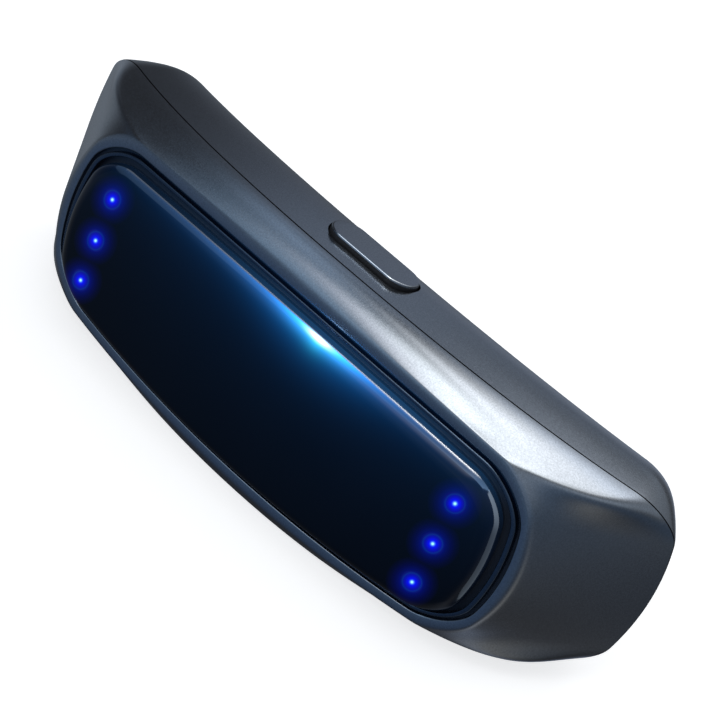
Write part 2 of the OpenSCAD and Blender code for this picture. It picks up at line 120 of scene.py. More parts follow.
def panel_ring(l, h, d, k=1.0):
    """ring of the panel family at depth d, its corner and bows follow its size"""
    if l <= 61.5:
        t = (l - 58.8) / 2.7
        r, bz, bx = mix(8.0, 10.5, max(t, 0)), mix(3.1, 2.9, max(t, 0)), mix(3.4, 3.8, max(t, 0))
        if t < 0:
            r = 8.0 - 0.5 * (58.8 - l)
    else:
        t = (l - 61.5) / 3.1
        r, bz, bx = mix(10.5, 9.0, t), mix(2.9, 3.1, t), mix(3.8, 7.0, t)
    q = outline(l, h, r, bz, bx) * k
    x, z = q.T
    return np.c_[x, arc_y(x, d + CROWN * (z / 17.5) ** 2), z]


def soft_floor(z, limit, k):
    """max(z, limit) with a rounded corner"""
    g = np.maximum(k - np.abs(z - limit), 0) / k
    return np.maximum(z, limit) + g * g * k / 4


ROUND = roundness()


def bevel_rails(ins=0.0):
    q = outline(64.6 - ins, 25.2 - ins, max(9.0 - ins, 2), 3.1, 7.0)
    t = np.c_[q[:, 0], arc_y(q[:, 0], 3.9 + CROWN * (q[:, 1] / 17.5) ** 2), q[:, 1]]
    q = outline(82.4 - ins, 30.2 - ins, 9.2 - ins, 9.1, 3.0)
    s = np.c_[q[:, 0], seam_y(q[:, 0]), q[:, 1]]
    low = np.c_[s[:, 0], mix(t[:, 1], s[:, 1], 0.42), s[:, 2]]
    c = mix((t + s) / 2, low, ROUND)
    return t, c, s


def bevel(rails, v):
    t, c, s = rails
    return (1 - v) ** 2 * t + 2 * v * (1 - v) * c + v * v * s


def floor_ring(p, ins=0.0, k=0.9):
    p = p.copy()
    if ins > 0.3:
        p[:, 2] = np.maximum(p[:, 2], -(BASE + 0.3 - ins))
    else:
        p[:, 2] = soft_floor(p[:, 2], -BASE, k)
    return p


def shift(p, dy):
    return p + np.array([0.0, dy, 0.0])


def rear_ring(w, ins=0.0, dy=0.0):
    full = 1 - 0.44 * w ** 3.9
    low = 1 - 0.44 * w ** 7
    l, h = 82.4 - 15.4 * w ** 1.1 - ins, 30.2 * full - ins
    q = outline(l, h, max(mix(9.2, 6.2, w) - ins, 2), 9.1 * full, mix(3.0, -1.0, w))
    z = np.where(q[:, 1] < 0, q[:, 1] * (30.2 * low - ins) / h, q[:, 1])
    p = np.c_[q[:, 0], mix(seam_y(q[:, 0]), skin_y(q[:, 0]), w) + dy, z]
    return floor_ring(p, ins)


def skin_ring(ins, h=0.0, k=1.0):
    q = outline(67.0 - ins, 30.2 * 0.56 - ins, 6.2 - ins * 0.5, 9.1 * 0.56, -1.0) * k
    return np.c_[q[:, 0], skin_y(q[:, 0], h), q[:, 1]]


def rounded_rect(w, h, r, na=10, nl=14, ns=8):
    pts = []
    x, y = w / 2 - r, h / 2 - r
    for cx, cy, a0, m, to in ((x, y, 0, nl, (-x, h / 2)), (-x, y, 90, ns, (-w / 2, -y)),
                              (-x, -y, 180, nl, (x, -h / 2)), (x, -y, 270, ns, (w / 2, y))):
        for i in range(na):
            a = math.radians(a0 + 90 * i / na)
            pts.append((cx + r * math.cos(a), cy + r * math.sin(a)))
        a = math.radians(a0 + 90)
        s = (cx + r * math.cos(a), cy + r * math.sin(a))
        for i in range(m):
            pts.append((s[0] + (to[0] - s[0]) * i / m, s[1] + (to[1] - s[1]) * i / m))
    return np.array(pts)


# ------------------------------------------------------------------ meshes
def grid_faces(m, n, start=0, loop=False):
    out = []
    for i in range(m if loop else m - 1):
        for j in range(n):
            a, b = start + i * n + j, start + i * n + (j + 1) % n
            c = start + ((i + 1) % m) * n
            out.append((a, b, c + (j + 1) % n, c + j))
    return out


def closed(rings, c0=None, c1=None, loop=False):
    """vertices and faces of a closed body through rings, with a point at each end"""
    n, m = len(rings[0]), len(rings)
    v = [tuple(p) for r in rings for p in r]
    f = grid_faces(m, n, 0, loop)
    if not loop:
        c0 = rings[0].mean(0) if c0 is None else c0
        c1 = rings[-1].mean(0) if c1 is None else c1
        v += [tuple(c0), tuple(c1)]
        f += [(j, (j + 1) % n, m * n) for j in range(n)]
        f += [((m - 1) * n + (j + 1) % n, (m - 1) * n + j, m * n + 1) for j in range(n)]
    return v, f


def make(name, parts, sharp=38, smooth=True, finish=None):
    """one object from several closed bodies given in bar coordinates. finish gives each
    face's material number by its place in the list of faces"""
    bm = bmesh.new()
    for v, f in parts:
        vs = [bm.verts.new(tuple(p)) for p in place(v)]
        for k, q in enumerate(f):
            try:
                face = bm.faces.new([vs[i] for i in q])
            except ValueError:
                continue
            if finish:
                face.material_index = finish(k)
    bmesh.ops.remove_doubles(bm, verts=bm.verts, dist=1e-7)
    bmesh.ops.recalc_face_normals(bm, faces=bm.faces)
    me = bpy.data.meshes.new(name)
    bm.to_mesh(me)
    bm.free()
    if finish:
        for _ in range(finish(None)):
            me.materials.append(None)
    o = bpy.data.objects.new(name, me)
    bpy.context.scene.collection.objects.link(o)
    finish_shading(o, sharp, smooth)
    return o


def finish_shading(o, sharp=38, smooth=True):
    me = o.data
    for p in me.polygons:
        p.use_smooth = smooth
    if smooth:
        me.set_sharp_from_angle(angle=math.radians(sharp))
    me.update()


def cut(o, cutters, sharp=38):
    """takes the cutters out of o and removes them"""
    for c in cutters:
        m = o.modifiers.new("cut", "BOOLEAN")
        m.operation, m.solver, m.object = "DIFFERENCE", "EXACT", c
    dg = bpy.context.evaluated_depsgraph_get()
    me = bpy.data.meshes.new_from_object(o.evaluated_get(dg))
    o.modifiers.clear()
    old = o.data
    o.data = me
    me.name = o.name
    bpy.data.meshes.remove(old)
    for c in cutters:
        d = c.data
        bpy.data.objects.remove(c)
        bpy.data.meshes.remove(d)
    finish_shading(o, sharp)


def dist(a, b):
    return np.linalg.norm(a - b, axis=1)[:, None]


# ---- front casing half: channel round the panel, landing, rounded bevel
def build_front():
    rails = bevel_rails()
    t, c, s = rails
    edge_in = panel_ring(62.2, 22.8, 4.0)
    rings = [panel_ring(58.2, 19.7, 4.0, k) for k in (0.08, 0.2, 0.35, 0.5, 0.65, 0.8, 0.92)]
    rings += [panel_ring(58.0, 19.5, 4.0), panel_ring(58.2, 19.7, 4.05), panel_ring(58.25, 19.75, 4.3),
              panel_ring(58.3, 19.8, 4.85), panel_ring(58.5, 20.0, 5.0), panel_ring(60.2, 21.3, 5.02),
              panel_ring(61.9, 22.6, 5.0), panel_ring(62.05, 22.7, 4.85),
              panel_ring(62.1, 22.72, 4.35), panel_ring(62.16, 22.76, 4.12), panel_ring(62.3, 22.88, 4.0)]
    start = panel_ring(62.45, 23.02, 3.96)
    rings.append(start)
    soft = 1.1
    a = t + (start - t) * np.minimum(soft / dist(start, t), 0.6)
    vf = soft / (2 * dist(c, t))
    b = (1 - vf) ** 2 * t + 2 * vf * (1 - vf) * c + vf ** 2 * s
    for k in np.linspace(0, 1, 8):
        rings.append((1 - k) ** 2 * a + 2 * k * (1 - k) * t + k * k * b)
    # bevel, from the end of the soft edge to just before the seam
    ve = 1.0
    for k in np.linspace(0, 1, 34)[1:]:
        v = vf + (ve - vf) * k
        p = (1 - v) ** 2 * t + 2 * v * (1 - v) * c + v ** 2 * s
        rings.append(shift(p, 0) + np.c_[0 * v, -GAP / 2 * v, 0 * v])
    s_in = bevel(bevel_rails(2.4), 1.0)
    rings.append(shift(s_in, -GAP / 2))
    seam_at = len(rings) - 2
    first_outer = 8
    for i in range(first_outer, len(rings) - 1):
        rings[i] = floor_ring(rings[i])
    rings[-1] = floor_ring(rings[-1], 2.4)
    for v in (0.8, 0.6, 0.4, 0.2, 0.0):
        rings.append(floor_ring(shift(bevel(bevel_rails(1.6 + 0.6 * v), v), 1.7 * (1 - v)), 1.6 + 0.6 * v))
    rings += [panel_ring(60.5, 21.4, 6.0, k) for k in (0.95, 0.75, 0.55, 0.35, 0.15)]
    n = len(start)
    # faces: channel floor, outer casing, then the seam's wall and the inside in black moulding, which on the seam wall
    # is painted shade of the gap
    finish = lambda k: 3 if k is None else 1 if k < 14 * n else 0 if k < seam_at * n else 2 if k < (len(rings) - 1) * n else (1, 2)[k >= len(rings) * n]
    return make("casing_front", [closed(rings, np.array([0, 4.0, 0]), np.array([0, 6.0, 0]))], finish=finish)


# ---- rear casing half: wrapped strip, rim, hollow skin side, inner wall
def build_rear():
    rings = [skin_ring(1, -RECESS - WALL, k) for k in (0.12, 0.26, 0.4, 0.54, 0.68, 0.8, 0.9)]
    rings.append(skin_ring(-2, -RECESS - WALL))
    rings += [rear_ring(w, 2.2 + 0.4 * w) for w in (0.78, 0.65, 0.5, 0.34, 0.17)]
    rings += [rear_ring(0, 2.4, GAP / 2), rear_ring(0, 1.7, GAP / 2), rear_ring(0, 1.7, 0.85),
              rear_ring(0, 0.9, 0.85), rear_ring(0, 0.9, GAP / 2), rear_ring(0, 0.14, GAP / 2)]
    rings[-1] = rear_ring(0, 0.0, GAP / 2)
    seam_at = len(rings) - 1
    for w in np.concatenate([[0.006], np.linspace(0.03, 0.9, 27), np.linspace(0.92, 0.985, 6)]):
        rings.append(rear_ring(w, 0.0, GAP / 2 * (1 - w)))
    # soft rim between the strip and the skin side
    end, rim = rear_ring(0.985), skin_ring(0.55)
    corner = rear_ring(1.0)
    for k in (0.2, 0.4, 0.6, 0.8, 1.0):
        rings.append((1 - k) ** 2 * end + 2 * k * (1 - k) * corner + k * k * rim)
    rings += [skin_ring(RIM - 0.3), skin_ring(RIM - 0.1, -0.06), skin_ring(RIM, -0.3), skin_ring(RIM, -RECESS)]
    rings += [skin_ring(RIM, -RECESS, k) for k in (0.9, 0.8, 0.68, 0.54, 0.4, 0.26, 0.12)]
    n = len(corner)
    # the inside and the seam's rim face take the black moulding; on the rim face it is painted shade of the seam gap
    finish = lambda k: 2 if k is None else 1 if k < seam_at * n or (len(rings) - 1) * n <= k < len(rings) * n else 0
    o = make("casing_rear", [closed(rings, np.array([0, float(skin_y(0, -RECESS - WALL)), 0]),
                                    np.array([0, float(skin_y(0, -RECESS)), 0]))], finish=finish)
    # button opening with a soft edge, and the socket opening underneath
    hole = []
    for z, off in ((-9, 0.4), (-0.25, 0.4), (-0.12, 0.43), (0.0, 0.52), (0.12, 0.7), (0.3, 1.05), (2.0, 4.5)):
        q = rounded_rect(CAP["l"] + 2 * off, CAP["w"] + 2 * off, CAP["r"] + off)
        hole.append(leaning(q, z))
    port = []
    for z, off in ((-BASE - 1.0, 1.35), (-BASE - 0.02, 0.37), (-BASE + 0.3, 0.02), (-BASE + 4.0, 0.0)):
        q = rounded_rect(9.4 + 2 * off, 3.7 + 2 * off, 1.84 + off)
        port.append(np.c_[q[:, 0], q[:, 1] + 20.5, np.full(len(q), z)])
    cut(o, [make("cut_a", [closed(hole)]), make("cut_b", [closed(port)])])
    return o


def leaning(q, z):
    """a flat outline set in the button's frame, on the plane that leans with the casing's top"""
    t = math.tan(CAP["tilt"])
    return np.c_[q[:, 0] + CAP["x"], q[:, 1] + CAP["y"], CAP["z"] + z - t * q[:, 1]]


# ---- smoked panel with a rounded edge
def build_lens():
    rings = [panel_ring(55.6, 17.0, 0.0, k) for k in (0.05, 0.12, 0.2, 0.3, 0.4, 0.5, 0.6, 0.7, 0.8, 0.88, 0.95)]
    for a in np.radians(np.linspace(0, 90, 22)):
        ins = 3.2 * (1 - math.sin(a))
        rings.append(panel_ring(58.8 - ins, 20.2 - ins, 2.6 * (1 - math.cos(a))))
    rings += [panel_ring(58.8, 20.2, d) for d in (2.9, 3.2, 3.5)]
    rings += [panel_ring(58.65, 20.05, 3.66), panel_ring(58.4, 19.8, 3.68)]
    rings += [panel_ring(58.4, 19.8, 3.68, k) for k in (0.85, 0.6, 0.35, 0.12)]
    return make("panel_lens", [closed(rings, np.array([0, 0, 0]), np.array([0, 3.68, 0]))], sharp=60)


# ---- thin frame standing in the channel
def build_frame():
    rings = [panel_ring(60.1, 21.26, 4.98), panel_ring(60.1, 21.26, 3.95)]
    for a in np.radians((20, 45, 70, 90)):
        rings.append(panel_ring(60.1 + 0.22 * (1 - math.cos(a)), 21.26 + 0.16 * (1 - math.cos(a)), 3.92 - 0.22 * math.sin(a)))
    for a in np.radians((90, 70, 45, 20)):
        rings.append(panel_ring(61.2 - 0.26 * (1 - math.cos(a)), 22.0 - 0.2 * (1 - math.cos(a)), 3.96 - 0.26 * math.sin(a)))
    rings += [panel_ring(61.2, 22.0, 4.0), panel_ring(61.2, 22.0, 4.98)]
    return make("panel_frame", [closed(rings, loop=True)], sharp=60)


# ---- small domed windows over the lights
def led_axes():
    a = math.asin(LED_X / ARC)
    return [(s * a, i * LED_PITCH) for s in (-1, 1) for i in (-1, 0, 1)]


def on_panel(a, z0, x, z, proud):
    """a point of the panel face near a light, x and z from the light's axis"""
    d = CROWN * ((z0 + z) / 17.5) ** 2
    y = ARC - np.sqrt((ARC - d) ** 2 - x * x) - proud - ARC
    return np.stack([x * math.cos(a) - y * math.sin(a), x * math.sin(a) + y * math.cos(a) + ARC,
                     np.broadcast_to(z0 + z, np.shape(x))], -1)


def build_windows():
    parts = []
    for a, z0 in led_axes():
        rings = []
        ang = np.radians(np.arange(0, 360, 360 / 48))
        for r in (0.25, 0.5, 0.75, 1.0, 1.25, 1.5, 1.75, 2.0, 2.15, 2.27, 2.4):
            h = 0.05 * (1 - (r / 2.4) ** 2) + 0.008 if r < 2.4 else 0.0
            rings.append(on_panel(a, z0, r * np.cos(ang), r * np.sin(ang), h))
        rings.append(on_panel(a, z0, 2.4 * np.cos(ang), 2.4 * np.sin(ang), -0.5))
        c0 = on_panel(a, z0, np.array(0.0), np.array(0.0), 0.058)
        c1 = on_panel(a, z0, np.array(0.0), np.array(0.0), -0.5)
        parts.append(closed(rings, c0, c1))
    return make("light_windows", parts, sharp=50)


# ---- push button
def build_button():
    l, w, r, rise = CAP["l"], CAP["w"], CAP["r"], CAP["rise"]
    flat = lambda q, z: np.c_[q[:, 0] + CAP["x"], q[:, 1] + CAP["y"], np.full(len(q), CAP["z"] + z)]
    rings = [flat(rounded_rect(l + 2.4, w + 1.2, r) * 0.5, -5.3),
             flat(rounded_rect(l + 2.4, w + 1.2, r), -5.3), flat(rounded_rect(l + 2.4, w + 1.2, r), -4.4),
             flat(rounded_rect(l, w, r), -4.4)]
    rings += [leaning(rounded_rect(l, w, r), z) for z in (-3.2, -2.0, -0.8, 0.0, rise - 0.55, rise - 0.5)]
    wall_to = len(rings) - 2
    for a in np.radians(np.linspace(12, 90, 9)):
        ins = 0.42 * (1 - math.cos(a))
        rings.append(leaning(rounded_rect(l - 2 * ins, w - 2 * ins, max(r - ins, 1.0)), rise - 0.48 + 0.42 * math.sin(a)))
    top = rounded_rect(l - 0.84, w - 0.84, r - 0.42)
    for k in (0.85, 0.6, 0.35, 0.12):
        rings.append(leaning(top * k, rise - 0.06 + 0.06 * (1 - k * k)))
    stem = []
    ang = np.radians(np.arange(0, 360, 15))
    for z, rr in ((-5.9, 1.2), (-5.9, 1.65), (-5.8, 1.8), (-5.0, 1.8)):
        stem.append(np.c_[rr * np.cos(ang), 20.15 + rr * np.sin(ang), np.full(len(ang), CAP["z"] + z)])
    cap_faces = (len(rings) + 1) * len(top)
    # the side wall and the stem take the black moulding; on the side wall it is painted shade round the button
    finish = lambda k: 2 if k is None else 1 if k < wall_to * len(top) or k >= cap_faces else 0
    return make("button_cap", [closed(rings, None, np.array([CAP["x"], CAP["y"], CAP["z"] + rise])), closed(stem)],
                sharp=45, finish=finish)


# ---- skin side
def on_skin(q, h, cx=0.0):
    x = q[:, 0] + cx
    return np.c_[x, skin_y(x, h), q[:, 1]]


def build_cover():
    rings = [skin_ring(RIM + 0.15, -RECESS + 0.3, k) for k in (0.12, 0.26, 0.4, 0.54, 0.68, 0.8, 0.9, 0.97)]
    rings += [skin_ring(RIM + 0.15, -RECESS + 0.3), skin_ring(RIM + 0.15, 0.1)]
    for a in np.radians(np.linspace(8, 90, 10)):
        rings.append(skin_ring(RIM + 0.15 + 1.5 * (1 - math.cos(a)), 0.2 + 1.3 * math.sin(a)))
    rings += [skin_ring(RIM + 1.65, 1.5, k) for k in (0.97, 0.9, 0.8, 0.68, 0.54, 0.4, 0.26, 0.12)]
    o = make("skin_cover_pad", [closed(rings, np.array([0, float(skin_y(0, -RECESS + 0.3)), 0]),
                                       np.array([0, float(skin_y(0, 1.5)), 0]))])
    cutters = []
    for s in (-1, 1):
        hole = [on_skin(rounded_rect(36.3 + 2 * g, 18.3 + 2 * g, 6.15 + g), h, s * 35)
                for h, g in ((-4.0, 0), (0.9, 0), (1.2, 0.1), (1.4, 0.3), (1.6, 0.6), (3.0, 2.0))]
        seat = [on_skin(rounded_rect(39.4, 21.4, 7.5), h, s * 35) for h in (-4.0, -1.0)]
        cutters += [make("cut_c", [closed(hole)]), make("cut_d", [closed(seat)])]
    cut(o, cutters)
    return o


def build_electrode(s, name):
    ring = lambda w, h, r, d, k=1.0: on_skin(rounded_rect(w, h, r) * k, d, s * 35)
    rings = [ring(39, 21, 7.2, -2.2, k) for k in (0.15, 0.45, 0.75)]
    rings += [ring(39, 21, 7.2, -2.2), ring(39, 21, 7.2, -1.2), ring(38.6, 20.6, 7.0, -1.1), ring(36, 18, 6, -1.1),
              ring(36, 18, 6, 0.4), ring(36, 18, 6, 1.45)]
    for a in np.radians(np.linspace(10, 90, 10)):
        i = 0.95 * (1 - math.cos(a))
        rings.append(ring(36 - 2 * i, 18 - 2 * i, 6 - i, 1.45 + 0.95 * math.sin(a)))
    rings += [ring(34.1, 16.1, 5.05, 2.4, k) for k in (0.93, 0.8, 0.65, 0.5, 0.35, 0.2, 0.08)]
    ang = np.radians(np.arange(0, 360, 20))
    stud = [np.c_[s * 32 + r * np.cos(ang), np.full(len(ang), y), 5 + r * np.sin(ang)]
            for y, r in ((33.0, 0.5), (33.0, 0.85), (33.2, 1.0), (38.0, 1.0))]
    cx = s * 35.0
    ends = [np.array([cx, float(skin_y(cx, d)), 0.0]) for d in (-2.2, 2.4)]
    return make(name, [closed(rings, ends[0], ends[1]), closed(stud)], sharp=50)


# ------------------------------------------------------------------ materials
class Nodes:
    """small helper for building a node material"""

    def __init__(self, name):
        self.mat = bpy.data.materials.new(name)
        self.mat.use_nodes = True
        self.t = self.mat.node_tree
        self.t.nodes.clear()
        self.out = self.add("ShaderNodeOutputMaterial")
        self.bsdf = self.add("ShaderNodeBsdfPrincipled")
        self.t.links.new(self.bsdf.outputs[0], self.out.inputs[0])
        self.co = self.add("ShaderNodeTexCoord").outputs["Object"]

    def add(self, kind, **props):
        n = self.t.nodes.new(kind)
        for k, v in props.items():
            setattr(n, k, v)
        return n

    def put(self, socket, value):
        if isinstance(value, bpy.types.NodeSocket):
            self.t.links.new(value, socket)
        elif value is not None:
            socket.default_value = value

    def math(self, op, a, b=None, c=None, clamp=False):
        n = self.add("ShaderNodeMath", operation=op, use_clamp=clamp)
        for i, v in enumerate((a, b, c)):
            self.put(n.inputs[i], v)
        return n.outputs[0]

    def vec(self, op, a, b=None, out=0):
        n = self.add("ShaderNodeVectorMath", operation=op)
        self.put(n.inputs[0], a)
        self.put(n.inputs[1], b)
        return n.outputs[out]

    def ramp(self, x, stops, smooth=True):
        n = self.add("ShaderNodeValToRGB")
        n.color_ramp.interpolation = "EASE" if smooth else "LINEAR"
        e = n.color_ramp.elements
        while len(e) < len(stops):
            e.new(0.5)
        for i, (p, c) in enumerate(stops):
            e[i].position = p
            e[i].color = (*c, 1.0) if len(c) == 3 else c
        self.put(n.inputs[0], x)
        return n.outputs[0]

    def range(self, x, a, b, c, d, smooth=False):
        n = self.add("ShaderNodeMapRange", interpolation_type="SMOOTHSTEP" if smooth else "LINEAR")
        for i, v in enumerate((x, a, b, c, d)):
            self.put(n.inputs[i], v)
        return n.outputs[0]

    def noise(self, scale, detail=3.0, rough=0.5, co=None, lac=2.0):
        n = self.add("ShaderNodeTexNoise")
        self.put(n.inputs["Vector"], co if co is not None else self.co)
        n.inputs["Scale"].default_value = scale
        n.inputs["Detail"].default_value = detail
        n.inputs["Roughness"].default_value = rough
        n.inputs["Lacunarity"].default_value = lac
        return n.outputs[0]

    def blend(self, t, a, b, mode="MIX"):
        n = self.add("ShaderNodeMix", data_type="RGBA", blend_type=mode)
        self.put(n.inputs["Factor"], t)
        ins = [i for i in n.inputs if i.type == "RGBA"]
        for s, v in zip(ins, (a, b)):
            self.put(s, (*v, 1.0) if isinstance(v, tuple) and len(v) == 3 else v)
        return [o for o in n.outputs if o.type == "RGBA"][0]

    def bump(self, height, strength, distance, normal=None):
        n = self.add("ShaderNodeBump")
        n.inputs["Strength"].default_value = strength
        n.inputs["Distance"].default_value = distance
        self.put(n.inputs["Height"], height)
        if normal is not None:
            self.put(n.inputs["Normal"], normal)
        return n.outputs[0]

    def set(self, **kw):
        for k, v in kw.items():
            s = self.bsdf.inputs[k.replace("_", " ")]
            if isinstance(v, tuple) and len(v) == 3 and s.type == "RGBA":
                v = (*v, 1.0)
            self.put(s, v)


def plain(name, color, rough, metal=0.0, var=0.12, scale=900.0, bump=0.15, depth=0.00003, rough_var=0.08, **extra):
    """moulded or plated stock: small tone variation, uneven roughness and a fine texture"""
    m = Nodes(name)
    big, small = m.noise(90.0, 3.0), m.noise(scale, 4.0, 0.6)
    tone = m.math("ADD", m.math("MULTIPLY", big, 0.6), m.math("MULTIPLY", small, 0.4))
    dark = tuple(c * (1 - var) for c in color)
    light = tuple(min(c * (1 + var), 1.0) for c in color)
    m.set(Base_Color=m.ramp(tone, [(0.3, dark), (0.7, light)]), Metallic=metal,
          Roughness=m.range(tone, 0.3, 0.7, max(rough - rough_var, 0.03), rough + rough_var),
          Normal=m.bump(small, bump, depth), **extra)
    return m.mat


def casing_material(name, color=(0.40, 0.43, 0.47), rough=0.2):
    """satin graphite coating over plastic: dense metallic grain, a little cloudiness"""
    m = Nodes(name)
    grain = m.noise(3000.0, 2.0, 0.6)
    fleck = m.add("ShaderNodeTexVoronoi")
    m.put(fleck.inputs["Vector"], m.co)
    fleck.inputs["Scale"].default_value = 3800.0
    cloud = m.noise(38.0, 3.0, 0.5)
    tone = m.range(grain, 0.3, 0.7, -0.5, 0.5)
    tone = m.math("ADD", tone, m.range(cloud, 0.3, 0.7, -0.03, 0.03))
    bright = tuple(min(c * 1.12, 1.0) for c in color)
    dark = tuple(c * 0.88 for c in color)
    base = m.blend(m.math("ADD", tone, 0.5, clamp=True), dark, bright)
    rim = m.add("ShaderNodeSeparateColor")
    m.put(rim.inputs[0], fleck.outputs["Color"])
    m.set(Base_Color=base, Metallic=1.0,
          Roughness=m.math("ADD", rough, m.math("ADD", m.range(cloud, 0.3, 0.7, -0.006, 0.006),
                                               m.range(rim.outputs[0], 0, 1, -0.035, 0.035))),
          Normal=m.bump(grain, 0.04, 0.000004))
    return m.mat


def channel_shade_and_glow_material():
    """near-black navy satin floor of the channel round the panel, darkened as painted shade of the recess, with a
    painted blue glow from the panel on its upper run
    """
    m = Nodes("channel_navy_painted_shade_glow")
    sep = m.add("ShaderNodeSeparateXYZ")
    m.put(sep.inputs[0], m.co)
    x = m.math("MULTIPLY", sep.outputs[0], 1000.0)
    high = m.range(sep.outputs[2], (BASE + 12.0) / 1000, (BASE + 19.0) / 1000, 0.0, 1.0, smooth=True)
    grain = m.noise(2600.0, 2.0, 0.6)
    # painted glow: the panel's blue, glowing on the channel's upper run
    spill = m.vec("SCALE", (0.03, 0.28, 0.80))
    m.put(spill.node.inputs["Scale"], m.math("MULTIPLY", high, m.math("MULTIPLY_ADD", bell(m, x, 16.0, 34.0), 0.06, 0.010)))
    m.set(Base_Color=m.blend(grain, (0.010, 0.016, 0.030), (0.018, 0.026, 0.044)), Roughness=m.range(grain, 0.3, 0.7, 0.42, 0.55),
          Emission_Color=spill, Emission_Strength=1.0)
    return m.mat


# each light shines out of the panel up and to the right, so its glow leans that way
BEAM = (0.3516, -0.7467, 0.5646)


def light_distance(m):
    """distance in mm to the nearest light, measured square to its beam"""
    best = None
    for a, z0 in led_axes():
        p = place(on_panel(a, z0, np.array(0.0), np.array(0.0), 0.0))
        d = m.vec("SUBTRACT", m.co, tuple(float(x) for x in p))
        d = m.vec("LENGTH", m.vec("CROSS_PRODUCT", d, BEAM), out=1)
        best = d if best is None else m.math("MINIMUM", best, d)
    return m.math("MULTIPLY", best, 1000.0)


def light_glow(m):
    """colour of a light by distance: white core, saturated disc, fine ring, navy halo"""
    r = light_distance(m)
    col = m.add("ShaderNodeValToRGB")
    col.color_ramp.interpolation = "LINEAR"
    stops = [(0.0, (0.60, 1.50, 1.30)), (0.18, (0.36, 0.95, 1.15)), (0.38, (0.06, 0.20, 1.0)), (0.6, (0.002, 0.012, 0.92)),
             (0.8, (0.0, 0.001, 0.82)), (1.0, (0.0, 0.001, 0.65)), (1.1, (0.0, 0.002, 0.60)), (1.2, (0.0, 0.001, 0.49)),
             (1.45, (0.0, 0.002, 0.37)), (1.62, (0.0, 0.003, 0.30)), (1.78, (0.0, 0.014, 0.25)), (1.92, (0.0, 0.016, 0.22)),
             (2.08, (0.0, 0.004, 0.165)), (2.4, (0.0, 0.001, 0.115)), (2.8, (0.0, 0.001, 0.08)), (3.4, (0.0, 0.0, 0.045)),
             (4.2, (0.0, 0.0, 0.018)), (5.2, (0.0, 0.0, 0.0))]
    e = col.color_ramp.elements
    while len(e) < len(stops):
        e.new(0.5)
    for i, (p, c) in enumerate(stops):
        e[i].position = p / 5.2
        e[i].color = (*c, 1.0)
    m.put(col.inputs[0], m.math("DIVIDE", r, 5.2))
    return col.outputs[0]


def falloff(m, x, reach):
    """exp(-x / reach), never above one"""
    return m.math("EXPONENT", m.math("MULTIPLY", m.math("MAXIMUM", x, 0.0), -1.0 / reach))


def bell(m, x, centre, width):
    q = m.math("DIVIDE", m.math("SUBTRACT", x, centre), width)
    return m.math("EXPONENT", m.math("MULTIPLY", m.math("MULTIPLY", q, q), -1.0))


